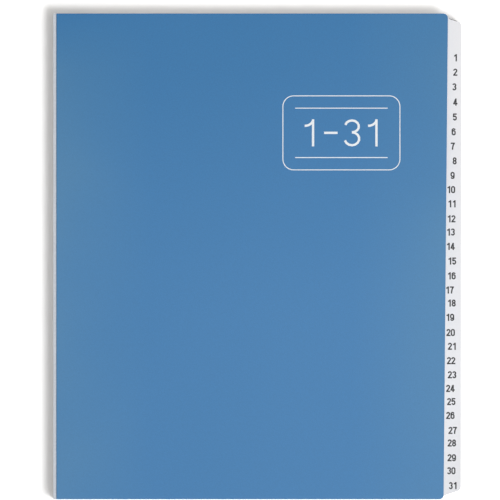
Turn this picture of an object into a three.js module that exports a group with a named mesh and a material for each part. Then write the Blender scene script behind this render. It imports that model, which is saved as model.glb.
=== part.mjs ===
// Desk file sorter for the days of a month: two plastic covers, a pleated spine that can spread, and
// numbered card dividers cut in steps, so that every tab shows beside the closed front cover.
// It lies on its back cover. X runs from the spine to the tabs, Y from foot to head, Z up through the stack.
// The origin is the middle of the footprint, on the surface that it lies on. All sizes are in millimetres.
import * as THREE from 'three';

// Covers
const coverHeight = 304.8;
const coverWidth = 245.7;
const coverThickness = 0.8;
const coverCornerRadius = 2.8;
const foreEdgeSlant = 2.7; // the covers are cut this much narrower at the foot than at the head

// Dividers
const dividerCount = 31;
const dividerThickness = 0.3;
const dividerInset = 0.6; // the dividers stop this short of the covers at head and foot
const dividerCornerRadius = 2;

// Stepped tabs along the fore edge
const tabExposure = 8.35; // how far the tabs stand out past the head of the front cover
const tabReach = 14.8; // from the cut-back edge of a divider to the edge of its tab
const firstTabRun = 30.6; // from the head of the dividers to the end of the first tab
const tabBow = 2.2; // the steps are cut closer together towards the foot, most out of even half-way down
const tabShoulderAngle = 18; // degrees that a shoulder falls away from square
const tabCornerRadius = 3;
const tabRootRadius = 1.2;

// Pleated spine, one folded sheet
const pleatThickness = 0.1;
const pleatDepth = 22; // also how far the end flaps run in, where they are glued to the covers
const pleatGap = 0.1; // air between the two layers of a pleat that folds inwards
const hingeGap = 0.5; // air inside the fold that a cover turns on, which springs open a little
const glueGap = 0.04;
const spineProud = 1.8; // how far the folds stand out past the covers' spine edges
const edgeClearance = 0.1; // from a divider's spine edge to the curve of the fold round it
const stackSlip = 0.15; // how far a hand-squared stack leaves a divider and its fold out of line

const arcSteps = 6;
const foldSteps = 4;

// The folds are counted up from the back cover: one for it, one round each divider, one for the front cover.
const lastFold = dividerCount + 1;
const foldSpace = (fold) => (fold === 0 || fold === lastFold ? hingeGap : dividerThickness + 2 * glueGap);
const slipAt = (fold) => (fold === 0 || fold === lastFold ? 0 : stackSlip * Math.sin(2.4 * fold));

// Heights of the middle of the lower and the upper layer of each fold
const foldLevels = [];
let level = coverThickness + glueGap + pleatThickness / 2;
for (let fold = 0; fold <= lastFold; fold += 1) {
  const lower = level;
  const upper = lower + foldSpace(fold) + pleatThickness;
  foldLevels.push({ lower, upper });
  level = upper + pleatGap + pleatThickness;
}
const frontCoverUnderside = foldLevels[lastFold].upper + pleatThickness / 2 + glueGap;

const overallWidth = spineProud + coverWidth + tabExposure;
const spineX = -overallWidth / 2;
const coverEdgeX = spineX + spineProud;
const dividerHeight = coverHeight - 2 * dividerInset;
const tabFall = tabReach * Math.tan(THREE.MathUtils.degToRad(tabShoulderAngle));
const tabPitch = (dividerHeight - tabFall - firstTabRun) / (dividerCount - 1);

const coverMaterial = new THREE.MeshStandardMaterial({ color: '#4a7db0', roughness: 0.5, metalness: 0 });
const cardMaterial = new THREE.MeshStandardMaterial({ color: '#ececf0', roughness: 0.6, metalness: 0 });
const pleatMaterial = new THREE.MeshStandardMaterial({ color: '#e4e6ea', roughness: 0.7, metalness: 0 });

// A closed outline through the corners, each rounded to its own radius. Corners run anticlockwise.
function roundedOutline(corners) {
  const points = [];
  corners.forEach(({ x, y, radius = 0 }, index) => {
    const here = new THREE.Vector2(x, y);
    const before = corners.at(index - 1);
    const after = corners[(index + 1) % corners.length];
    const back = new THREE.Vector2(before.x, before.y).sub(here).normalize();
    const on = new THREE.Vector2(after.x, after.y).sub(here).normalize();
    if (radius === 0) {
      points.push(here);
      return;
    }
    const halfAngle = Math.acos(back.dot(on)) / 2;
    const centre = back.clone().add(on).normalize().multiplyScalar(radius / Math.sin(halfAngle)).add(here);
    const start = back.clone().multiplyScalar(radius / Math.tan(halfAngle)).add(here).sub(centre);
    const side = Math.sign(-back.x * on.y + back.y * on.x);
    const sweep = side * (Math.PI - 2 * halfAngle);
    for (let step = 0; step <= arcSteps; step += 1) {
      const turn = (sweep * step) / arcSteps;
      points.push(start.clone().rotateAround(new THREE.Vector2(), turn).add(centre));
    }
  });
  return new THREE.Shape(points);
}

// A flat sheet cut to the outline, with its underside at the given height
function sheet(name, outline, thickness, x, z, material) {
  const geometry = new THREE.ExtrudeGeometry(outline, { depth: thickness, bevelEnabled: false });
  const mesh = new THREE.Mesh(geometry, material);
  mesh.name = name;
  mesh.position.set(x, 0, z);
  return mesh;
}

// A cover, square at the spine and rounded at the fore edge
function cover(name, z) {
  const half = coverHeight / 2;
  const outline = roundedOutline([
    { x: 0, y: -half },
    { x: coverWidth - foreEdgeSlant, y: -half, radius: coverCornerRadius },
    { x: coverWidth, y: half, radius: coverCornerRadius },
    { x: 0, y: half },
  ]);
  return sheet(name, outline, coverThickness, coverEdgeX, z, coverMaterial);
}

// A divider. Its tab strip runs from the head down to its own number, and below that it is cut back.
function divider(number) {
  const fold = lastFold - number;
  const wrapRadius = (foldSpace(fold) + 2 * pleatThickness) / 2;
  const spineEdge = wrapRadius + edgeClearance;
  const tabEdge = spineProud + coverWidth + tabExposure;
  const bodyEdge = tabEdge - tabReach;
  const half = dividerHeight / 2;
  const share = (number - 1) / (dividerCount - 1);
  const tabEnd = -half + tabFall + (dividerCount - number) * tabPitch - 4 * tabBow * share * (1 - share);
  const corners = [{ x: spineEdge, y: -half }];
  if (number < dividerCount) {
    corners.push(
      { x: bodyEdge, y: -half, radius: dividerCornerRadius },
      { x: bodyEdge, y: tabEnd - tabFall, radius: tabRootRadius },
    );
  } else {
    corners.push({ x: bodyEdge, y: -half });
  }
  corners.push(
    { x: tabEdge, y: tabEnd, radius: tabCornerRadius },
    { x: tabEdge, y: half - tabFall, radius: tabCornerRadius },
    { x: bodyEdge, y: half, radius: tabRootRadius },
    { x: spineEdge, y: half },
  );
  const underside = (foldLevels[fold].lower + foldLevels[fold].upper - dividerThickness) / 2;
  const name = 'divider_' + String(number).padStart(2, '0');
  return sheet(name, roundedOutline(corners), dividerThickness, spineX + slipAt(fold), underside, cardMaterial);
}

// The section of the pleated sheet: a line up through all the folds, walked along both of its faces
function pleatedSection() {
  const leftFace = [];
  const rightFace = [];
  const halfSheet = pleatThickness / 2;
  const along = (x, z, heading) => {
    leftFace.push(new THREE.Vector2(x, z + heading * halfSheet));
    rightFace.push(new THREE.Vector2(x, z - heading * halfSheet));
  };
  // Half a turn upwards round a centre: turn is -1 at a fold on the spine and 1 at a fold inside.
  const foldRound = (x, lower, upper, turn) => {
    const radius = (upper - lower) / 2;
    const centre = new THREE.Vector2(x, (lower + upper) / 2);
    for (let step = 0; step <= foldSteps; step += 1) {
      const angle = -Math.PI / 2 + (Math.PI * step) / foldSteps;
      const spoke = new THREE.Vector2(turn * Math.cos(angle), Math.sin(angle));
      leftFace.push(spoke.clone().multiplyScalar(radius - turn * halfSheet).add(centre));
      rightFace.push(spoke.clone().multiplyScalar(radius + turn * halfSheet).add(centre));
    }
  };

  along(spineX + pleatDepth, foldLevels[0].lower, -1);
  for (let fold = 0; fold <= lastFold; fold += 1) {
    const { lower, upper } = foldLevels[fold];
    const outerRadius = (upper - lower + pleatThickness) / 2;
    foldRound(spineX + slipAt(fold) + outerRadius, lower, upper, -1);
    if (fold < lastFold) {
      foldRound(spineX + slipAt(fold) + pleatDepth, upper, foldLevels[fold + 1].lower, 1);
    }
  }
  along(spineX + pleatDepth, foldLevels[lastFold].upper, 1);
  return new THREE.Shape([...rightFace, ...leftFace.reverse()]);
}

function spineGusset() {
  const geometry = new THREE.ExtrudeGeometry(pleatedSection(), { depth: coverHeight, bevelEnabled: false });
  geometry.translate(0, 0, -coverHeight / 2);
  const mesh = new THREE.Mesh(geometry, pleatMaterial);
  mesh.name = 'spine_gusset';
  mesh.rotation.x = Math.PI / 2;
  return mesh;
}

const sorter = new THREE.Group();
sorter.add(cover('back_cover', 0));
sorter.add(spineGusset());
for (let number = dividerCount; number >= 1; number -= 1) {
  sorter.add(divider(number));
}
sorter.add(cover('front_cover', frontCoverUnderside));

export default sorter;
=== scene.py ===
import math

import bmesh
import bpy
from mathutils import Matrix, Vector
from mathutils.geometry import delaunay_2d_cdt


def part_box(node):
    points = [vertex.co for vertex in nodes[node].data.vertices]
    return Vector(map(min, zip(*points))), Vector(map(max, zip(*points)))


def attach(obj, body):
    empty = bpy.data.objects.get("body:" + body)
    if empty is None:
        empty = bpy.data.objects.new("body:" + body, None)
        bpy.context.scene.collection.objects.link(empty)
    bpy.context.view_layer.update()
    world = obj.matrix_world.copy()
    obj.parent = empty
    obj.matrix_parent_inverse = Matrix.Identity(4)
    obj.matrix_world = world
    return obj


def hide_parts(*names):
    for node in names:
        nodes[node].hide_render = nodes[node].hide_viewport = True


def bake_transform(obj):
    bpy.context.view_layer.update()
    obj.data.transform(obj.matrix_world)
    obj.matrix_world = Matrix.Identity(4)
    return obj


# A desk sorter seen from straight above: satin blue covers, white pleats, numbered card tabs
mm = 0.001

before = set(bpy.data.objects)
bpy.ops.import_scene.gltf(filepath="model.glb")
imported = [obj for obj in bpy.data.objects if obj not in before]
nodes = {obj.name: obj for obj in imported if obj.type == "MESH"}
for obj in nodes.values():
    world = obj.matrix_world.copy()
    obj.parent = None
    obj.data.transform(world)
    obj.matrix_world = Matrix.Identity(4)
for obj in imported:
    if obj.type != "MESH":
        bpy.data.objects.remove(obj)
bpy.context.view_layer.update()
frontLow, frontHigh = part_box("front_cover")
backLow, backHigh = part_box("back_cover")
spineLow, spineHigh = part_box("spine_gusset")
dividerNames = sorted(name for name in nodes if name.startswith("divider_"))
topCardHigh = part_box(dividerNames[0])[1]
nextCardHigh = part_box(dividerNames[1])[1]
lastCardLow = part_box(dividerNames[-1])[0]
leafPitch = topCardHigh.z - nextCardHigh.z
coverTop = frontHigh.z
print("frame loaded:", len(nodes), "nodes")


# Small helpers for nodes, colours and meshes

def addNode(tree, kind, inputs=None, **settings):
    # A socket goes by its name or its number, and by its number where several share a name
    node = tree.nodes.new(kind)
    for name, value in settings.items():
        setattr(node, name, value)
    for socket, value in (inputs or {}).items():
        if isinstance(value, bpy.types.NodeSocket):
            tree.links.new(value, node.inputs[socket])
        else:
            node.inputs[socket].default_value = value
    return node


def socketId(tree, name):
    return next(item.identifier for item in tree.interface.items_tree
                if item.item_type == "SOCKET" and item.in_out == "INPUT" and item.name == name)


def srgb(code):
    channels = [int(code[i:i + 2], 16) / 255 for i in (1, 3, 5)]
    return [c / 12.92 if c <= 0.04045 else ((c + 0.055) / 1.055) ** 2.4 for c in channels] + [1.0]


def startMaterial(name):
    material = bpy.data.materials.new(name)
    material.use_nodes = True
    tree = material.node_tree
    tree.nodes.clear()
    output = addNode(tree, "ShaderNodeOutputMaterial")
    place = addNode(tree, "ShaderNodeTexCoord").outputs["Object"]
    return material, tree, output, place


def addPiece(name, mesh, material=None, smoothAngle=None):
    piece = bpy.data.objects.new(name, mesh)
    bpy.context.scene.collection.objects.link(piece)
    if material:
        mesh.materials.clear()
        mesh.materials.append(material)
    if smoothAngle is not None:
        mesh.shade_smooth()
        mesh.set_sharp_from_angle(angle=math.radians(smoothAngle))
        for face in mesh.polygons:
            # A broad flat face keeps its own normal, so that a rounded rim doesn't shade it
            face.use_smooth = len(face.vertices) <= 4
    return piece


def evaluatedMesh(piece):
    bpy.context.view_layer.update()
    graph = bpy.context.evaluated_depsgraph_get()
    return bpy.data.meshes.new_from_object(piece.evaluated_get(graph))


def dropPiece(piece):
    mesh = piece.data
    bpy.data.objects.remove(piece)
    bpy.data.meshes.remove(mesh)


def raiseFaces(bm, faces, height):
    # The same faces again this much higher, and a wall up from each edge that has a face on one side only
    upper = {}
    for face in faces:
        for vert in face.verts:
            if vert not in upper:
                upper[vert] = bm.verts.new((vert.co.x, vert.co.y, vert.co.z + height))
    rims = [(loop.vert, loop.link_loop_next.vert)
            for face in faces for loop in face.loops if loop.edge.is_boundary]
    for face in faces:
        bm.faces.new([upper[vert] for vert in face.verts])
        face.normal_flip()
    for start, end in rims:
        bm.faces.new((start, end, upper[end], upper[start]))
    bm.normal_update()


def finishedMesh(bm, name):
    bmesh.ops.recalc_face_normals(bm, faces=bm.faces)
    mesh = bpy.data.meshes.new(name)
    bm.to_mesh(mesh)
    bm.free()
    return mesh


def bend(x, y, across, up, fromDegrees, toDegrees, steps=10):
    # Points along part of an ellipse, across and up from its middle
    sweep = toDegrees - fromDegrees
    turns = [math.radians(fromDegrees + sweep * step / steps) for step in range(steps + 1)]
    return [Vector((x + across * math.cos(turn), y + up * math.sin(turn))) for turn in turns]


def roundCorner(corner, before, after, radius, steps):
    back = (before - corner).normalized()
    on = (after - corner).normalized()
    half = back.angle(on) / 2
    centre = corner + (back + on).normalized() * radius / math.sin(half)
    first = corner + back * radius / math.tan(half) - centre
    last = corner + on * radius / math.tan(half) - centre
    return [centre + first.slerp(last, step / steps) * radius for step in range(steps + 1)]


# Camera: straight down, far off with a long lens, as the flat view in the photograph asks

view = {
    "frameSize": 500,           # pixels of the photograph, each way
    "coverLeft": 55.95,         # where the front cover's edges lie in it
    "coverTop": 13.0,
    "coverBottom": 498.7,
    "lens": 1000,               # mm, on a 36 mm sensor
    "sensor": 36,
    "clipEnd": 100,
}


def addCamera():
    pixel = (frontHigh.y - frontLow.y) / (view["coverBottom"] - view["coverTop"])
    middle = (view["frameSize"] - 1) / 2
    across = view["frameSize"] * pixel
    data = bpy.data.cameras.new("camera")
    data.lens = view["lens"]
    data.sensor_width = view["sensor"]
    data.clip_end = view["clipEnd"]
    camera = bpy.data.objects.new("camera", data)
    camera.location = (
        frontLow.x + (middle - view["coverLeft"]) * pixel,
        frontHigh.y - (middle - view["coverTop"]) * pixel,
        coverTop + across * view["lens"] / view["sensor"],
    )
    bpy.context.scene.collection.objects.link(camera)
    bpy.context.scene.camera = camera
    return camera


camera = addCamera()
print("camera at", [round(c, 4) for c in camera.location])


# Materials

coverLook = {
    "head": "#146fa8",
    "foot": "#387eb6",          # painted light: paler towards the foot, in place of a sheen on the lower half
    "paintedLightEnd": -40 * mm,        # the painted light is full from here down, below the middle of the sorter
    "cloud": 110 * mm,          # slow change of tone across the sheet
    "cloudShare": 0.3,
    "paintedSheen": "#7da6aa",        # painted sheen: paler and greyer along the spine and along the fore edge
    "paintedSheenWidth": 60 * mm,
    "paintedSheenStart": 35 * mm,        # from the head down to where the painted sheen at the spine is full
    "paintedSheenPatch": 70 * mm,
    "paintedSheenShare": 0.26,           # at the spine
    "paintedForeSheenShare": 0.2,           # at the fore edge
    "wave": 160 * mm,           # the sheet isn't dead flat
    "waveDepth": 1.2 * mm,
    "waveStrength": 0.5,
    "grain": 0.5 * mm,          # calendered grain, drawn coarser than real so that it shows
    "grainDepth": 0.05 * mm,
    "grainRange": (0.3, 0.7),   # the noise runs from a pit to a crest between these
    "grainLightAndShade": 0.06,          # painted light and shade: how much paler its crests are than the sheet, and its pits darker
    "roughness": 0.55,
    "roughSpread": 0.04,        # how much rougher the crests are, and smoother the pits
    "ior": 1.49,
}


def makeCoverPlastic():
    # Extruded polypropylene sheet with a calendered satin face: soft sheen, no sharp reflections
    look = coverLook
    material, tree, output, place = startMaterial("polypropyleneSheet")
    split = addNode(tree, "ShaderNodeSeparateXYZ", {0: place})
    cloud = addNode(tree, "ShaderNodeTexNoise", {"Vector": place, "Scale": 1 / look["cloud"], "Detail": 2.0})
    # Painted light: paler from the head towards the foot, standing in for a sheen, broken up by slow clouds
    # of tone
    paintedLight = addNode(tree, "ShaderNodeMapRange",
                   {"Value": split.outputs["Y"], "From Min": frontHigh.y, "From Max": look["paintedLightEnd"]},
                   interpolation_type="SMOOTHSTEP")
    cloudAndPaintedLight = addNode(tree, "ShaderNodeMix",
                     {0: look["cloudShare"], 2: paintedLight.outputs[0], 3: cloud.outputs["Fac"]})
    tone = addNode(tree, "ShaderNodeMix",
                   {0: cloudAndPaintedLight.outputs[0], 6: srgb(look["head"]), 7: srgb(look["foot"])},
                   data_type="RGBA")

    # Painted sheen in patches along the spine, less near the head, and along the fore edge
    full = addNode(tree, "ShaderNodeMapRange",
                   {"Value": split.outputs["Y"], "From Min": frontHigh.y,
                    "From Max": frontHigh.y - look["paintedSheenStart"],
                    "To Min": 0.0, "To Max": look["paintedSheenShare"]})
    spineSheen = addNode(tree, "ShaderNodeMapRange",
                   {"Value": split.outputs["X"], "From Min": frontLow.x,
                    "From Max": frontLow.x + look["paintedSheenWidth"],
                    "To Min": full.outputs[0], "To Max": 0.0})
    foreSheen = addNode(tree, "ShaderNodeMapRange",
                   {"Value": split.outputs["X"], "From Min": frontHigh.x,
                    "From Max": frontHigh.x - look["paintedSheenWidth"],
                    "To Min": look["paintedForeSheenShare"], "To Max": 0.0})
    edges = addNode(tree, "ShaderNodeMath", {0: spineSheen.outputs[0], 1: foreSheen.outputs[0]}, operation="ADD")
    patch = addNode(tree, "ShaderNodeTexNoise",
                    {"Vector": place, "Scale": 1 / look["paintedSheenPatch"], "Detail": 1.0})
    sheenMask = addNode(tree, "ShaderNodeMath", {0: edges.outputs[0], 1: patch.outputs["Fac"]},
                  operation="MULTIPLY")
    color = addNode(tree, "ShaderNodeMix",
                    {0: sheenMask.outputs[0], 6: tone.outputs[2], 7: srgb(look["paintedSheen"])},
                    data_type="RGBA")

    # The grain sets the roughness and the relief, and paints light on its crests and shade in its pits
    grain = addNode(tree, "ShaderNodeTexNoise", {"Vector": place, "Scale": 1 / look["grain"], "Detail": 3.0})
    pit, crest = look["grainRange"]
    shading = addNode(tree, "ShaderNodeMapRange",
                      {"Value": grain.outputs["Fac"], "From Min": pit, "From Max": crest,
                       "To Min": 1 - look["grainLightAndShade"], "To Max": 1 + look["grainLightAndShade"]})
    body = addNode(tree, "ShaderNodeMix", {0: 1.0, 6: color.outputs[2], 7: shading.outputs[0]},
                   data_type="RGBA", blend_type="MULTIPLY")
    sheen = addNode(tree, "ShaderNodeMapRange",
                    {"Value": grain.outputs["Fac"], "To Min": look["roughness"] - look["roughSpread"],
                     "To Max": look["roughness"] + look["roughSpread"]})
    wave = addNode(tree, "ShaderNodeTexNoise", {"Vector": place, "Scale": 1 / look["wave"], "Detail": 0.0})
    fine = addNode(tree, "ShaderNodeBump", {"Height": grain.outputs["Fac"], "Distance": look["grainDepth"]})
    bump = addNode(tree, "ShaderNodeBump",
                   {"Height": wave.outputs["Fac"], "Strength": look["waveStrength"],
                    "Distance": look["waveDepth"], "Normal": fine.outputs[0]})
    shader = addNode(tree, "ShaderNodeBsdfPrincipled",
                     {"Base Color": body.outputs[2], "Roughness": sheen.outputs[0],
                      "IOR": look["ior"], "Normal": bump.outputs[0]})
    tree.links.new(shader.outputs[0], output.inputs[0])
    return material


cardLook = {
    "face": "#ebebee",
    "warm": "#e9e8e9",          # sheets differ a little, between this and the face
    "film": "#ebebee",          # clear film laminated over the tab strip
    "shadedFilm": "#e3e3e6",       # painted shade: the lowest tabs, deepest below the cover, are drawn greyer
    "shadedLeaves": 7,
    "filmWidth": 19 * mm,
    "fibre": 0.6 * mm,
    "fibreRoughness": 0.65,
    "fibreDepth": 0.02 * mm,
    "fibreStrength": 0.3,
    "roughness": 0.62,
    "filmRoughness": 0.34,
    "ior": 1.5,
}


def makeDividerCard():
    # Bleached card, coated on both faces, clear film over its tabs: matt white, a little gloss at the tabs
    look = cardLook
    material, tree, output, place = startMaterial("coatedCard")
    split = addNode(tree, "ShaderNodeSeparateXYZ", {0: place})
    leaf = addNode(tree, "ShaderNodeMath", {0: split.outputs["Z"], 1: leafPitch}, operation="DIVIDE")
    number = addNode(tree, "ShaderNodeMath", {0: leaf.outputs[0]}, operation="ROUND")
    draw = addNode(tree, "ShaderNodeTexWhiteNoise", {"W": number.outputs[0]}, noise_dimensions="1D")
    tone = addNode(tree, "ShaderNodeMix",
                   {0: draw.outputs["Value"], 6: srgb(look["face"]), 7: srgb(look["warm"])},
                   data_type="RGBA")
    filmed = addNode(tree, "ShaderNodeMath",
                     {0: split.outputs["X"], 1: topCardHigh.x - look["filmWidth"]},
                     operation="GREATER_THAN")
    # Painted shade: the film greys over the lowest leaves, which lie deepest under the stack
    paintedShade = addNode(tree, "ShaderNodeMapRange",
                     {"Value": split.outputs["Z"], "From Max": lastCardLow.z,
                      "From Min": lastCardLow.z + look["shadedLeaves"] * leafPitch})
    film = addNode(tree, "ShaderNodeMix",
                   {0: paintedShade.outputs[0], 6: srgb(look["film"]), 7: srgb(look["shadedFilm"])},
                   data_type="RGBA")
    color = addNode(tree, "ShaderNodeMix",
                    {0: filmed.outputs[0], 6: tone.outputs[2], 7: film.outputs[2]},
                    data_type="RGBA")
    fibre = addNode(tree, "ShaderNodeTexNoise",
                    {"Vector": place, "Scale": 1 / look["fibre"], "Detail": 5.0,
                     "Roughness": look["fibreRoughness"]})
    dull = addNode(tree, "ShaderNodeMapRange",
                   {"Value": filmed.outputs[0], "To Min": look["roughness"],
                    "To Max": look["filmRoughness"]})
    bump = addNode(tree, "ShaderNodeBump",
                   {"Height": fibre.outputs["Fac"], "Strength": look["fibreStrength"],
                    "Distance": look["fibreDepth"]})
    shader = addNode(tree, "ShaderNodeBsdfPrincipled",
                     {"Base Color": color.outputs[2], "Roughness": dull.outputs[0],
                      "IOR": look["ior"], "Normal": bump.outputs[0]})
    tree.links.new(shader.outputs[0], output.inputs[0])
    return material


pleatLook = {
    "face": "#d6dbe2",
    "thin": "#ccd2da",          # where the fibres lie thinner
    "crease": "#eceff3",        # the sheet goes whiter where it is creased
    "creaseWidth": 0.9 * mm,
    "creaseShare": 0.55,
    "mottle": 2.5 * mm,         # how far the bunches of fibres lie apart
    "mottleTwist": 1.5,
    "mottleRange": (0.35, 0.65),    # the noise runs from thick to thin between these
    "mottleDepth": 0.05 * mm,
    "mottleStrength": 0.3,
    "roughness": 0.56,
    "ior": 1.51,
}


def makePleatSheet():
    # Spun-bonded polyethylene sheet, calendered and folded: greyish white, nearly matt, mottled by its fibres
    look = pleatLook
    material, tree, output, place = startMaterial("spunBondedSheet")
    split = addNode(tree, "ShaderNodeSeparateXYZ", {0: place})
    mottle = addNode(tree, "ShaderNodeTexNoise",
                     {"Vector": place, "Scale": 1 / look["mottle"], "Detail": 2.0,
                      "Distortion": look["mottleTwist"]})
    thickest, thinnest = look["mottleRange"]
    thin = addNode(tree, "ShaderNodeMapRange",
                   {"Value": mottle.outputs["Fac"], "From Min": thickest, "From Max": thinnest})
    face = addNode(tree, "ShaderNodeMix",
                   {0: thin.outputs[0], 6: srgb(look["face"]), 7: srgb(look["thin"])},
                   data_type="RGBA")

    # Whiter on both sides of the line of the folds, and there only, also when a cover is open
    offset = addNode(tree, "ShaderNodeMath", {0: split.outputs["X"], 1: spineLow.x}, operation="SUBTRACT")
    away = addNode(tree, "ShaderNodeMath", {0: offset.outputs[0]}, operation="ABSOLUTE")
    near = addNode(tree, "ShaderNodeMapRange",
                   {"Value": away.outputs[0], "From Max": look["creaseWidth"],
                    "To Min": look["creaseShare"], "To Max": 0.0},
                   interpolation_type="SMOOTHSTEP")
    white = addNode(tree, "ShaderNodeMath", {0: near.outputs[0], 1: mottle.outputs["Fac"]},
                    operation="MULTIPLY")
    color = addNode(tree, "ShaderNodeMix",
                    {0: white.outputs[0], 6: face.outputs[2], 7: srgb(look["crease"])},
                    data_type="RGBA")
    bump = addNode(tree, "ShaderNodeBump",
                   {"Height": mottle.outputs["Fac"], "Strength": look["mottleStrength"],
                    "Distance": look["mottleDepth"]})
    shader = addNode(tree, "ShaderNodeBsdfPrincipled",
                     {"Base Color": color.outputs[2], "IOR": look["ior"],
                      "Roughness": look["roughness"], "Normal": bump.outputs[0]})
    tree.links.new(shader.outputs[0], output.inputs[0])
    return material


inkLook = {
    "tabs": {"full": "#18191c", "thin": "#26272b", "speck": 0.5 * mm, "roughness": 0.5},
    "cover": {"full": "#eef3f6", "thin": "#e2eaf0", "speck": 0.6 * mm, "roughness": 0.45},
    "speckRange": (0.45, 0.75),     # the noise runs from full to thin ink between these
    "speckDepth": 0.01 * mm,
    "speckStrength": 0.2,
    "ior": 1.48,
}


def makeInk(name, ink):
    # Screen-printed ink: an even layer that breaks up a little over the grain below it
    material, tree, output, place = startMaterial(name)
    noise = addNode(tree, "ShaderNodeTexNoise", {"Vector": place, "Scale": 1 / ink["speck"], "Detail": 4.0})
    fullest, thinnest = inkLook["speckRange"]
    thin = addNode(tree, "ShaderNodeMapRange",
                   {"Value": noise.outputs["Fac"], "From Min": fullest, "From Max": thinnest})
    color = addNode(tree, "ShaderNodeMix",
                    {0: thin.outputs[0], 6: srgb(ink["full"]), 7: srgb(ink["thin"])},
                    data_type="RGBA")
    bump = addNode(tree, "ShaderNodeBump",
                   {"Height": noise.outputs["Fac"], "Strength": inkLook["speckStrength"],
                    "Distance": inkLook["speckDepth"]})
    shader = addNode(tree, "ShaderNodeBsdfPrincipled",
                     {"Base Color": color.outputs[2], "Roughness": ink["roughness"],
                      "IOR": inkLook["ior"], "Normal": bump.outputs[0]})
    tree.links.new(shader.outputs[0], output.inputs[0])
    return material


coverPlastic = makeCoverPlastic()
dividerCard = makeDividerCard()
pleatSheet = makePleatSheet()
# The tab ink prints the numerals and also draws the painted shadow along the top tab's shoulder
tabAndShadowInk = makeInk("carbonBlackInkAndPaintedShadow", inkLook["tabs"])
coverInk = makeInk("titaniumWhiteInk", inkLook["cover"])
print("materials made")


# Covers: die-cut sheet, square at the spine, rounded at the fore edge, its edges broken by the die

coverShape = {
    "cornerRadius": 2.8 * mm,
    "cornerSteps": 10,
    "foreEdgeSlant": 2.7 * mm,  # the covers are this much narrower at the foot
    "edgeRadius": 0.22 * mm,
    "edgeSteps": 3,
    "edgeProfile": 0.5,         # a quarter round
    "sameHeight": 0.0001 * mm,  # an edge whose ends differ by less than this lies level
    "smoothAngle": 40,          # degrees
}


def makeCover(name, low, high, node):
    radius = coverShape["cornerRadius"]
    spineFoot = Vector((low.x, low.y))
    foreFoot = Vector((high.x - coverShape["foreEdgeSlant"], low.y))
    foreHead = Vector((high.x, high.y))
    spineHead = Vector((low.x, high.y))
    outline = [spineFoot]
    outline += roundCorner(foreFoot, spineFoot, foreHead, radius, coverShape["cornerSteps"])
    outline += roundCorner(foreHead, foreFoot, spineHead, radius, coverShape["cornerSteps"])
    outline.append(spineHead)
    bm = bmesh.new()
    base = bm.faces.new([bm.verts.new((p.x, p.y, low.z)) for p in outline])
    raiseFaces(bm, [base], high.z - low.z)
    rims = [e for e in bm.edges if abs(e.verts[0].co.z - e.verts[1].co.z) < coverShape["sameHeight"]]
    bmesh.ops.bevel(bm, geom=rims, offset=coverShape["edgeRadius"], segments=coverShape["edgeSteps"],
                    profile=coverShape["edgeProfile"], affect="EDGES")
    cover = addPiece(name, finishedMesh(bm, name), coverPlastic, smoothAngle=coverShape["smoothAngle"])
    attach(cover, node)
    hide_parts(node)


makeCover("front_cover_panel", frontLow, frontHigh, "front_cover")
makeCover("back_cover_panel", backLow, backHigh, "back_cover")
print("covers made")


# Pleated spine: one unit of the folded section, repeated up the stack and swept along the spine

pleat = {
    "sheet": 0.1 * mm,
    "depth": 22 * mm,
    "leafSpace": 0.38 * mm,     # room inside a fold for one divider
    "backSpace": 0.1 * mm,      # air between the layers of a pleat, inside the block
    "endSpace": 0.5 * mm,       # air inside the fold that a cover turns on
    "foldSteps": 8,
    "rows": 40,                 # along the spine
    "joinWithin": 0.001 * mm,   # the ends of two units that meet
    "puff": 0.3 * mm,           # how far the folds swell out of line
    "puffLength": 35 * mm,
    "puffStretch": (0.0, 1.0, 12.0),    # the swell varies this much faster up the stack than along a fold
    "seed": 3,
    "smoothAngle": 50,          # degrees
}


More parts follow.
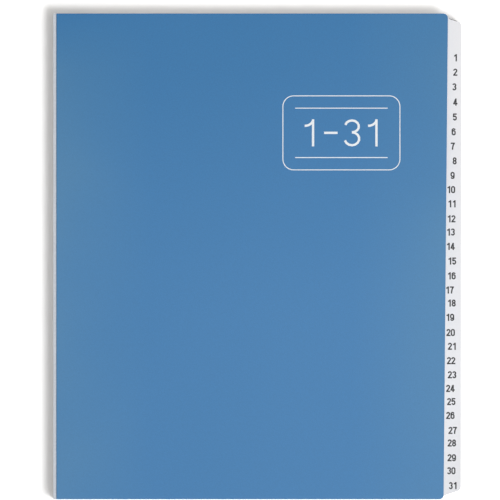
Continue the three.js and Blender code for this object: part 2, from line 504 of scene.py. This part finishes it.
def makePleatTree():
    tree = bpy.data.node_groups.new("pleatStack", "GeometryNodeTree")
    tree.interface.new_socket("Geometry", in_out="INPUT", socket_type="NodeSocketGeometry")
    tree.interface.new_socket("Count", in_out="INPUT", socket_type="NodeSocketInt")
    for name in ("Rise", "Length", "Puff", "Puff Length", "Fold Edge", "Depth"):
        tree.interface.new_socket(name, in_out="INPUT", socket_type="NodeSocketFloat")
    tree.interface.new_socket("Rows", in_out="INPUT", socket_type="NodeSocketInt")
    tree.interface.new_socket("Seed", in_out="INPUT", socket_type="NodeSocketFloat")
    tree.interface.new_socket("Finish", in_out="INPUT", socket_type="NodeSocketMaterial")
    tree.interface.new_socket("Geometry", in_out="OUTPUT", socket_type="NodeSocketGeometry")
    given = addNode(tree, "NodeGroupInput").outputs

    # The sweep turns the section's Y down, so it is drawn and stacked upside down
    fall = addNode(tree, "ShaderNodeMath", {0: given["Rise"], 1: -1.0}, operation="MULTIPLY")
    rise = addNode(tree, "ShaderNodeCombineXYZ", {"Y": fall.outputs[0]})
    ladder = addNode(tree, "GeometryNodeMeshLine", {"Count": given["Count"], "Offset": rise.outputs[0]})
    units = addNode(tree, "GeometryNodeInstanceOnPoints",
                    {"Points": ladder.outputs[0], "Instance": given["Geometry"]})
    loose = addNode(tree, "GeometryNodeRealizeInstances", {"Geometry": units.outputs[0]})
    joined = addNode(tree, "GeometryNodeMergeByDistance",
                     {"Geometry": loose.outputs[0], "Distance": pleat["joinWithin"]})
    section = addNode(tree, "GeometryNodeMeshToCurve", {"Mesh": joined.outputs[0]})

    half = addNode(tree, "ShaderNodeMath", {0: given["Length"], 1: 0.5}, operation="MULTIPLY")
    minus = addNode(tree, "ShaderNodeMath", {0: half.outputs[0], 1: -1.0}, operation="MULTIPLY")
    foot = addNode(tree, "ShaderNodeCombineXYZ", {"Y": minus.outputs[0]})
    head = addNode(tree, "ShaderNodeCombineXYZ", {"Y": half.outputs[0]})
    spine = addNode(tree, "GeometryNodeCurvePrimitiveLine",
                    {"Start": foot.outputs[0], "End": head.outputs[0]})
    path = addNode(tree, "GeometryNodeResampleCurve", {"Curve": spine.outputs[0], "Count": given["Rows"]})
    level = addNode(tree, "GeometryNodeSetCurveNormal", {"Curve": path.outputs[0]}, mode="Z_UP")
    sheet = addNode(tree, "GeometryNodeCurveToMesh",
                    {"Curve": level.outputs[0], "Profile Curve": section.outputs[0]})

    # The folds swell outwards by a slow noise, most at the nose and not at all at the inner folds
    where = addNode(tree, "GeometryNodeInputPosition").outputs[0]
    split = addNode(tree, "ShaderNodeSeparateXYZ", {0: where})
    inner = addNode(tree, "ShaderNodeMath", {0: given["Fold Edge"], 1: given["Depth"]}, operation="ADD")
    nose = addNode(tree, "ShaderNodeMapRange",
                   {"Value": split.outputs["X"], "From Min": given["Fold Edge"],
                    "From Max": inner.outputs[0], "To Min": 1.0, "To Max": 0.0})
    size = addNode(tree, "ShaderNodeMath", {0: 1.0, 1: given["Puff Length"]}, operation="DIVIDE")
    stretch = addNode(tree, "ShaderNodeVectorMath", {0: where, 1: pleat["puffStretch"]}, operation="MULTIPLY")
    noise = addNode(tree, "ShaderNodeTexNoise",
                    {"Vector": stretch.outputs[0], "W": given["Seed"],
                     "Scale": size.outputs[0], "Detail": 1.0},
                    noise_dimensions="4D")
    swell = addNode(tree, "ShaderNodeMath", {0: noise.outputs["Fac"], 1: nose.outputs[0]},
                    operation="MULTIPLY")
    out = addNode(tree, "ShaderNodeMath", {0: swell.outputs[0], 1: given["Puff"]}, operation="MULTIPLY")
    left = addNode(tree, "ShaderNodeMath", {0: out.outputs[0], 1: -1.0}, operation="MULTIPLY")
    shift = addNode(tree, "ShaderNodeCombineXYZ", {"X": left.outputs[0]})
    moved = addNode(tree, "GeometryNodeSetPosition",
                    {"Geometry": sheet.outputs[0], "Offset": shift.outputs[0]})

    solid = addNode(tree, "GeometryNodeRealizeInstances", {"Geometry": moved.outputs[0]})
    coated = addNode(tree, "GeometryNodeSetMaterial",
                     {"Geometry": solid.outputs[0], "Material": given["Finish"]})
    addNode(tree, "NodeGroupOutput", {"Geometry": coated.outputs[0]})
    return tree


def foldedLine(lower, space, start, end):
    # One fold whose lower layer lies at this height, from its inner fold or flap below to the one above
    nose = (space + pleat["sheet"]) / 2
    inner = (pleat["backSpace"] + pleat["sheet"]) / 2
    innerX = spineX + pleat["depth"]
    upper = lower + 2 * nose
    steps = pleat["foldSteps"]
    points = []
    if start == "fold":
        points += bend(innerX, lower - inner, inner, inner, 0, 90, steps // 2)
    else:
        points.append((innerX, lower))
    points += bend(spineX + nose + pleat["sheet"] / 2, lower + nose, nose, nose, 270, 90, steps)
    if end == "fold":
        points += bend(innerX, upper + inner, inner, inner, -90, 0, steps // 2)
    else:
        points.append((innerX, upper))
    return points


def makePleats(name, section, count, tree):
    mesh = bpy.data.meshes.new(name + "Line")
    mesh.from_pydata([(x, -z, 0) for x, z in section], [(i, i + 1) for i in range(len(section) - 1)], [])
    draft = addPiece(name + "Draft", mesh)
    modifier = draft.modifiers.new("pleats", "NODES")
    modifier.node_group = tree
    values = {
        "Count": count,
        "Rise": leafPitch,
        "Length": frontHigh.y - frontLow.y,
        "Puff": pleat["puff"],
        "Puff Length": pleat["puffLength"],
        "Fold Edge": spineX,
        "Depth": pleat["depth"],
        "Rows": pleat["rows"],
        "Seed": float(pleat["seed"]),
        "Finish": pleatSheet,
    }
    for label, value in values.items():
        modifier[socketId(tree, label)] = value
    thick = draft.modifiers.new("thickness", "SOLIDIFY")
    thick.thickness = pleat["sheet"]
    thick.offset = 0
    thick.use_even_offset = True
    piece = addPiece(name, evaluatedMesh(draft), pleatSheet, smoothAngle=pleat["smoothAngle"])
    dropPiece(draft)
    return piece


spineX = spineLow.x
pleatTree = makePleatTree()
endFold = pleat["endSpace"] + pleat["sheet"]
backLevel = spineLow.z + pleat["sheet"] / 2
firstLevel = backLevel + endFold + pleat["backSpace"] + pleat["sheet"]
frontLevel = spineHigh.z - pleat["sheet"] / 2 - endFold
leafLine = foldedLine(firstLevel, pleat["leafSpace"], "fold", "fold")
backLine = foldedLine(backLevel, pleat["endSpace"], "flap", "fold")
frontLine = foldedLine(frontLevel, pleat["endSpace"], "fold", "flap")
block = makePleats("pleats", leafLine, len(dividerNames), pleatTree)
backFlap = makePleats("back_flap", backLine, 1, pleatTree)
frontFlap = makePleats("front_flap", frontLine, 1, pleatTree)
print("pleats made:", len(block.data.polygons), "faces")
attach(block, "divider_block")
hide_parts("spine_gusset")
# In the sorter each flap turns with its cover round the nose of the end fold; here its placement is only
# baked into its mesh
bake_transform(backFlap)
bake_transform(frontFlap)


# Dividers keep their cut sheets and take the coated card

for name in dividerNames:
    for materialSlot in nodes[name].material_slots:
        materialSlot.material = dividerCard
print("dividers coated:", len(dividerNames))


# Print: bold condensed numerals, one on each tab, and a plain ruled panel on the front cover

numerals = {
    "height": 4.5 * mm,
    "width": 0.58,              # of the height, as the stroke is
    "stroke": 0.19,
    "ink": 0.012 * mm,          # thickness of the printed layer
    "advance": 2.74 * mm,
    "fromTabEdge": 3.65 * mm,   # from the tab's outer edge to the middle of the last figure, at both ends
    "fromHead": 28.0 * mm,      # from the head of the front cover to the middle of the first number
    "pitch": 8.94 * mm,
    "bow": (1.25 * mm, 2.2 * mm, 0.0),  # half-way down, the numbers stand this much further in and lower
    "driftX": 0.75 * mm,        # hand-laid dividers put them a little out of line
    "driftY": 0.5 * mm,
    "seed": 11,
}


def line(*ends):
    return [Vector(end) for end in ends]


def figureStrokes(figure, half, weight):
    # The middle lines of a narrow grotesque figure one unit high: half is half of its width
    edge = half - weight / 2
    top = 0.5 - weight / 2
    if figure == "0":
        return [bend(0, top - edge, edge, edge, 0, 180) + bend(0, edge - top, edge, edge, 180, 360)
                + line((edge, top - edge))]
    if figure == "1":
        return [line((0.4 * half, -0.5), (0.4 * half, 0.5)),
                bend(-0.6 * half, 0.5, half, 0.24, 350, 270)]
    if figure == "2":
        return [bend(0, top - edge, edge, edge, 180, -25) + line((-edge, -top)),
                line((-half, -top), (half, -top))]
    if figure == "3":
        bowl = top / 2
        return [bend(0, top - bowl + 0.01, edge * 0.95, bowl - 0.01, 165, -90),
                bend(0, bowl - top + 0.01, edge, bowl + 0.01, 90, -165)]
    if figure == "4":
        stem = 0.3 * half
        return [line((stem, -0.5), (stem, 0.5)),
                line((stem - weight * 0.2, top), (-edge, -0.2)),
                line((-half, -0.22), (half * 1.05, -0.22))]
    if figure == "5":
        return [line((-edge * 0.8, top), (half * 0.9, top)),
                line((-edge * 0.75, 0.5), (-edge * 0.95, -0.04)),
                bend(0, -top + 0.26, edge, 0.26, 140, -165)]
    if figure == "6":
        return [bend(0, top - edge, edge, edge, 15, 180) + bend(0, edge - top, edge, edge, 180, 360)
                + bend(0, 0.14 - edge, edge, edge, 0, 180)]
    if figure == "7":
        return [line((-half, top), (half, top)),
                bend(half, -0.56, half * 1.15, top + 0.56, 90, 176)]
    if figure == "8":
        upper = 0.2
        lower = top - upper
        return [bend(0, top - upper, edge * 0.9, upper, -90, 270),
                bend(0, lower - top, edge, lower, 90, 450)]
    if figure == "9":
        return [[-point for point in stroke] for stroke in figureStrokes("6", half, weight)]
    return [line((-half * 0.8, 0), (half * 0.8, 0))]


def strokeFaces(stroke, weight):
    # A strip of quads along the stroke, square at its ends and mitred where it turns
    sharpest = 0.3
    shortest = 1e-6
    sides = []
    for i, point in enumerate(stroke):
        ahead = (stroke[i + 1] - point).normalized() if i + 1 < len(stroke) else None
        behind = (point - stroke[i - 1]).normalized() if i > 0 else ahead
        ahead = ahead or behind
        normal = Vector((-behind.y - ahead.y, behind.x + ahead.x)).normalized()
        slant = max(sharpest, normal.dot(Vector((-ahead.y, ahead.x))))
        reach = min(weight, weight / 2 / slant)
        sides.append((point - normal * reach, point + normal * reach))
    return [(a[0], b[0], b[1], a[1]) for a, b in zip(sides, sides[1:]) if (b[0] - a[0]).length > shortest]


def lettering(text, height, width, advance, weight, ink):
    # All sizes but the height and the ink's thickness are shares of the height
    insideOnly = 1
    joinWithin = 1e-4
    points = []
    quads = []
    for place, figure in enumerate(text):
        middle = (place - (len(text) - 1) / 2) * advance
        for stroke in figureStrokes(figure, width / 2, weight):
            for quad in strokeFaces(stroke, weight):
                quads.append(list(range(len(points), len(points) + 4)))
                points += [Vector((p.x + middle, p.y)) for p in quad]
    joined, _, faces, _, _, owners = delaunay_2d_cdt(points, [], quads, insideOnly, joinWithin)
    bm = bmesh.new()
    corners = [bm.verts.new((p.x * height, p.y * height, 0)) for p in joined]
    for face, owner in zip(faces, owners):
        if owner:
            bm.faces.new([corners[i] for i in face])
    bmesh.ops.delete(bm, geom=[v for v in bm.verts if not v.link_faces], context="VERTS")
    raiseFaces(bm, bm.faces[:], ink)
    return finishedMesh(bm, "lettering")


def makeNumberTree():
    tree = bpy.data.node_groups.new("tabNumbers", "GeometryNodeTree")
    tree.interface.new_socket("Geometry", in_out="INPUT", socket_type="NodeSocketGeometry")
    tree.interface.new_socket("Figures", in_out="INPUT", socket_type="NodeSocketCollection")
    tree.interface.new_socket("Count", in_out="INPUT", socket_type="NodeSocketInt")
    for name in ("Pitch", "Drop", "Advance"):
        tree.interface.new_socket(name, in_out="INPUT", socket_type="NodeSocketFloat")
    for name in ("First", "Bow", "Drift"):
        tree.interface.new_socket(name, in_out="INPUT", socket_type="NodeSocketVector")
    tree.interface.new_socket("Seed", in_out="INPUT", socket_type="NodeSocketInt")
    tree.interface.new_socket("Ink", in_out="INPUT", socket_type="NodeSocketMaterial")
    tree.interface.new_socket("Geometry", in_out="OUTPUT", socket_type="NodeSocketGeometry")
    given = addNode(tree, "NodeGroupInput").outputs

    # Even steps down the tabs, less a bow that is full half-way, where 4 s (1 - s) is 1
    index = addNode(tree, "GeometryNodeInputIndex").outputs[0]
    last = addNode(tree, "ShaderNodeMath", {0: given["Count"], 1: 1.0}, operation="SUBTRACT")
    share = addNode(tree, "ShaderNodeMath", {0: index, 1: last.outputs[0]}, operation="DIVIDE")
    rest = addNode(tree, "ShaderNodeMath", {0: 1.0, 1: share.outputs[0]}, operation="SUBTRACT")
    hump = addNode(tree, "ShaderNodeMath", {0: share.outputs[0], 1: rest.outputs[0]}, operation="MULTIPLY")
    reach = addNode(tree, "ShaderNodeMath", {0: hump.outputs[0], 1: -4.0}, operation="MULTIPLY")
    bow = addNode(tree, "ShaderNodeVectorMath", {0: given["Bow"], "Scale": reach.outputs[0]},
                  operation="SCALE")
    step = addNode(tree, "ShaderNodeCombineXYZ", {"Y": given["Pitch"], "Z": given["Drop"]})
    count = addNode(tree, "ShaderNodeMath", {0: index, 1: -1.0}, operation="MULTIPLY")
    down = addNode(tree, "ShaderNodeVectorMath", {0: step.outputs[0], "Scale": count.outputs[0]},
                   operation="SCALE")
    place = addNode(tree, "ShaderNodeVectorMath", {0: down.outputs[0], 1: bow.outputs[0]}, operation="ADD")
    start = addNode(tree, "ShaderNodeVectorMath", {0: place.outputs[0], 1: given["First"]}, operation="ADD")
    opposite = addNode(tree, "ShaderNodeVectorMath", {0: given["Drift"], "Scale": -1.0}, operation="SCALE")
    drift = addNode(tree, "FunctionNodeRandomValue",
                    {0: opposite.outputs[0], 1: given["Drift"], "ID": index, "Seed": given["Seed"]},
                    data_type="FLOAT_VECTOR")
    settled = addNode(tree, "ShaderNodeVectorMath", {0: start.outputs[0], 1: drift.outputs[0]},
                      operation="ADD")
    row = addNode(tree, "GeometryNodeMeshLine", {"Count": given["Count"]})
    points = addNode(tree, "GeometryNodeSetPosition",
                     {"Geometry": row.outputs[0], "Position": settled.outputs[0]})

    # Ones on every tab, and tens one advance to their left from 10 on
    number = addNode(tree, "ShaderNodeMath", {0: index, 1: 1.0}, operation="ADD")
    ones = addNode(tree, "ShaderNodeMath", {0: number.outputs[0], 1: 10.0}, operation="MODULO")
    tenth = addNode(tree, "ShaderNodeMath", {0: number.outputs[0], 1: 10.0}, operation="DIVIDE")
    tens = addNode(tree, "ShaderNodeMath", {0: tenth.outputs[0]}, operation="FLOOR")
    twoFigures = addNode(tree, "FunctionNodeCompare", {0: tens.outputs[0], 1: 0.5}, operation="GREATER_THAN")
    figures = addNode(tree, "GeometryNodeCollectionInfo",
                      {"Collection": given["Figures"], "Separate Children": True, "Reset Children": True})
    right = addNode(tree, "GeometryNodeInstanceOnPoints",
                    {"Points": points.outputs[0], "Instance": figures.outputs[0],
                     "Pick Instance": True, "Instance Index": ones.outputs[0]})
    back = addNode(tree, "ShaderNodeMath", {0: given["Advance"], 1: -1.0}, operation="MULTIPLY")
    shift = addNode(tree, "ShaderNodeCombineXYZ", {"X": back.outputs[0]})
    beside = addNode(tree, "GeometryNodeSetPosition",
                     {"Geometry": points.outputs[0], "Offset": shift.outputs[0]})
    left = addNode(tree, "GeometryNodeInstanceOnPoints",
                   {"Points": beside.outputs[0], "Instance": figures.outputs[0],
                    "Selection": twoFigures.outputs[0],
                    "Pick Instance": True, "Instance Index": tens.outputs[0]})
    both = addNode(tree, "GeometryNodeJoinGeometry", {0: left.outputs[0]})
    tree.links.new(right.outputs[0], both.inputs[0])
    real = addNode(tree, "GeometryNodeRealizeInstances", {"Geometry": both.outputs[0]})
    inked = addNode(tree, "GeometryNodeSetMaterial", {"Geometry": real.outputs[0], "Material": given["Ink"]})
    addNode(tree, "NodeGroupOutput", {"Geometry": inked.outputs[0]})
    return tree


def makeTabNumbers():
    figures = bpy.data.collections.new("figures")
    bpy.context.scene.collection.children.link(figures)
    glyphs = []
    for figure in range(10):
        mesh = lettering(str(figure), numerals["height"], numerals["width"], 1, numerals["stroke"],
                         numerals["ink"])
        glyph = bpy.data.objects.new("figure" + str(figure), mesh)
        figures.objects.link(glyph)
        glyphs.append(glyph)
    draft = addPiece("numberDraft", bpy.data.meshes.new("numberDraft"))
    tree = makeNumberTree()
    modifier = draft.modifiers.new("numbers", "NODES")
    modifier.node_group = tree
    values = {
        "Figures": figures,
        "Count": len(dividerNames),
        "Pitch": numerals["pitch"],
        "Drop": leafPitch,
        "Advance": numerals["advance"],
        "First": (topCardHigh.x - numerals["fromTabEdge"], frontHigh.y - numerals["fromHead"], topCardHigh.z),
        "Bow": numerals["bow"],
        "Drift": (numerals["driftX"], numerals["driftY"], 0.0),
        "Seed": numerals["seed"],
        "Ink": tabAndShadowInk,
    }
    for label, value in values.items():
        modifier[socketId(tree, label)] = value
    numbers = addPiece("tab_numbers", evaluatedMesh(draft), tabAndShadowInk)
    dropPiece(draft)
    for glyph in glyphs:
        dropPiece(glyph)
    bpy.data.collections.remove(figures)
    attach(numbers, "divider_block")
    return numbers


numbers = makeTabNumbers()
print("numbers made:", len(numbers.data.polygons), "faces")


# A painted shadow line, drawn in the tab ink
shoulderShadow = {
    "from": 7.6 * mm,           # both ends measured in from the edge of the tabs
    "to": 2.6 * mm,
    "width": 0.36 * mm,
    "inset": 0.05 * mm,
    "slope": 18,                # degrees, as the shoulder falls
    "fall": 4.81 * mm,          # from the head of the dividers to where the shoulder would meet the edge
    "ink": 0.012 * mm,
}


def makeShoulderLine():
    # Painted shadow: a thin dark strip in the tab ink along the head shoulder of the top tab, where a shadow
    # gap between the dividers falls
    slope = math.tan(math.radians(shoulderShadow["slope"]))
    corner = Vector((topCardHigh.x, topCardHigh.y - shoulderShadow["fall"] - shoulderShadow["inset"]))
    upper = [corner + Vector((-x, x * slope)) for x in (shoulderShadow["from"], shoulderShadow["to"])]
    drop = Vector((0, -shoulderShadow["width"]))
    corners = [upper[1], upper[0], upper[0] + drop, upper[1] + drop]
    bm = bmesh.new()
    base = bm.faces.new([bm.verts.new((p.x, p.y, topCardHigh.z)) for p in corners])
    raiseFaces(bm, [base], shoulderShadow["ink"])
    piece = addPiece("shoulder_line", finishedMesh(bm, "shoulder_line"), tabAndShadowInk)
    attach(piece, "divider_block")


makeShoulderLine()
print("shoulder line made")


panel = {
    "centre": (52.7 * mm, 77.5 * mm),   # from the middle of the sorter's footprint
    "width": 74 * mm,
    "height": 47 * mm,
    "cornerRadius": 7 * mm,
    "cornerSteps": 10,
    "line": 0.55 * mm,                  # thickness of the border and of the rules
    "ruleInset": 8 * mm,
    "ruleOffset": 15.5 * mm,            # from the panel's middle to each rule
    "text": "1-31",                     # the days that it sorts by
    "textHeight": 17 * mm,
    "textWidth": 0.62,                  # of the height, as the next two are
    "textAdvance": 0.78,
    "stroke": 0.085,
    "ink": 0.02 * mm,                   # thickness of the printed layer
}


def addBand(bm, outer, inner, low, high):
    rings = [[bm.verts.new((p.x, p.y, z)) for p in ring]
             for ring, z in ((outer, low), (outer, high), (inner, high), (inner, low))]
    for near, far in zip(rings, rings[1:] + rings[:1]):
        for i in range(len(outer)):
            j = (i + 1) % len(outer)
            bm.faces.new((near[i], near[j], far[j], far[i]))


def roundedBox(centre, width, height, radius, steps):
    corners = [Vector((centre[0] + sx * width / 2, centre[1] + sy * height / 2))
               for sx, sy in ((-1, -1), (1, -1), (1, 1), (-1, 1))]
    points = []
    for i, corner in enumerate(corners):
        points += roundCorner(corner, corners[i - 1], corners[(i + 1) % 4], radius, steps)
    return points


def makeCoverPrint():
    border = panel["line"]
    ink = panel["ink"]
    centre = panel["centre"]
    radius = panel["cornerRadius"]
    steps = panel["cornerSteps"]
    bm = bmesh.new()
    outer = roundedBox(centre, panel["width"], panel["height"], radius, steps)
    inner = roundedBox(centre, panel["width"] - 2 * border, panel["height"] - 2 * border,
                       radius - border, steps)
    addBand(bm, outer, inner, coverTop, coverTop + ink)
    length = panel["width"] - 2 * panel["ruleInset"]
    for side in (-1, 1):
        middle = Vector((centre[0], centre[1] + side * panel["ruleOffset"], coverTop + ink / 2))
        rule = bmesh.ops.create_cube(bm, size=1)["verts"]
        bmesh.ops.scale(bm, vec=(length, border, ink), verts=rule)
        bmesh.ops.translate(bm, vec=middle, verts=rule)
    words = lettering(panel["text"], panel["textHeight"], panel["textWidth"], panel["textAdvance"],
                      panel["stroke"], ink)
    for vert in words.vertices:
        vert.co += Vector((centre[0], centre[1], coverTop))
    bm.from_mesh(words)
    bpy.data.meshes.remove(words)
    piece = addPiece("cover_print", finishedMesh(bm, "cover_print"), coverInk)
    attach(piece, "front_cover")


makeCoverPrint()
print("cover print made")


# Floor and light: white paper to the camera, a small far lamp for the shadow, a wide near one for the sheen

studio = {
    "floorSize": 4.0,
    "floorGap": 0.05 * mm,
    "paper": 0.93,              # how much of the light the paper gives back
    "gain": 1.35,               # the camera sees it brighter, so that only the shadow shows
    "lift": 0.16,               # and lit by itself this much, which makes the shadow paler
    "liftTint": "#fff6ea",
    "ambient": 0.25,
    "wallTop": 0.35,            # the white wall all round ends here, and the dim ceiling begins
    "ceiling": 0.75,            # at this height, both as the sine of the angle above the floor
    "keyFrom": (0.234, -0.2, 0.95),
    "keyDistance": 6.0,
    "keySize": 1.7,
    "keyPower": 192.0,
    "sheenAt": (0.38, 0.1, 0.9),
    "sheenSize": 0.9,
    "sheenPower": 1.7,
}


def seenRays(tree):
    # 1 for the rays that look at the background, straight or in a reflection or through a clear thing
    rays = addNode(tree, "ShaderNodeLightPath").outputs
    straight = addNode(tree, "ShaderNodeMath", {0: rays["Is Camera Ray"], 1: rays["Is Glossy Ray"]},
                       operation="MAXIMUM")
    return addNode(tree, "ShaderNodeMath", {0: straight.outputs[0], 1: rays["Is Transmission Ray"]},
                   operation="MAXIMUM").outputs[0]


def makeBackdrop():
    # Seamless paper, lit past white where nothing shades it
    material, tree, output, _ = startMaterial("seamlessPaper")
    gain = addNode(tree, "ShaderNodeMapRange",
                   {"Value": seenRays(tree), "To Min": studio["paper"],
                    "To Max": studio["paper"] * studio["gain"]})
    shade = addNode(tree, "ShaderNodeCombineColor", {i: gain.outputs[0] for i in range(3)})
    paper = addNode(tree, "ShaderNodeBsdfDiffuse", {"Color": shade.outputs[0]})
    lift = addNode(tree, "ShaderNodeMath", {0: seenRays(tree), 1: studio["lift"]}, operation="MULTIPLY")
    glow = addNode(tree, "ShaderNodeEmission",
                   {"Color": srgb(studio["liftTint"]), "Strength": lift.outputs[0]})
    both = addNode(tree, "ShaderNodeAddShader", {0: paper.outputs[0], 1: glow.outputs[0]})
    tree.links.new(both.outputs[0], output.inputs[0])
    return material


def addFloor():
    half = studio["floorSize"] / 2
    z = -studio["floorGap"]
    corners = [(-half, -half, z), (half, -half, z), (half, half, z), (-half, half, z)]
    mesh = bpy.data.meshes.new("floor")
    mesh.from_pydata(corners, [], [(0, 1, 2, 3)])
    floor = addPiece("floor", mesh, makeBackdrop())


def addLamp(name, position, size, power):
    data = bpy.data.lights.new(name, "AREA")
    data.shape = "DISK"
    data.size = size
    data.energy = power
    lamp = bpy.data.objects.new(name, data)
    lamp.location = position
    lamp.rotation_euler = (-Vector(position)).to_track_quat("-Z", "Y").to_euler()
    bpy.context.scene.collection.objects.link(lamp)


def addWorld():
    world = bpy.data.worlds.new("studioAir")
    world.use_nodes = True
    tree = world.node_tree
    tree.nodes.clear()
    direction = addNode(tree, "ShaderNodeTexCoord").outputs["Generated"]
    split = addNode(tree, "ShaderNodeSeparateXYZ", {0: direction})
    wall = addNode(tree, "ShaderNodeMapRange",
                   {"Value": split.outputs["Z"], "From Min": studio["wallTop"],
                    "From Max": studio["ceiling"], "To Min": 1.0, "To Max": 0.0},
                   interpolation_type="SMOOTHSTEP")
    white = addNode(tree, "ShaderNodeMath", {0: seenRays(tree), 1: wall.outputs[0]}, operation="MULTIPLY")
    strength = addNode(tree, "ShaderNodeMapRange",
                       {"Value": white.outputs[0], "To Min": studio["ambient"], "To Max": 1.0})
    air = addNode(tree, "ShaderNodeBackground", {"Color": (1, 1, 1, 1), "Strength": strength.outputs[0]})
    output = addNode(tree, "ShaderNodeOutputWorld")
    tree.links.new(air.outputs[0], output.inputs[0])
    bpy.context.scene.world = world


addFloor()
addWorld()
keyPlace = Vector(studio["keyFrom"]).normalized() * studio["keyDistance"]
addLamp("keyLamp", keyPlace, studio["keySize"], studio["keyPower"])
addLamp("sheenLamp", studio["sheenAt"], studio["sheenSize"], studio["sheenPower"])
bpy.context.scene.view_settings.view_transform = "Standard"
print("studio made")
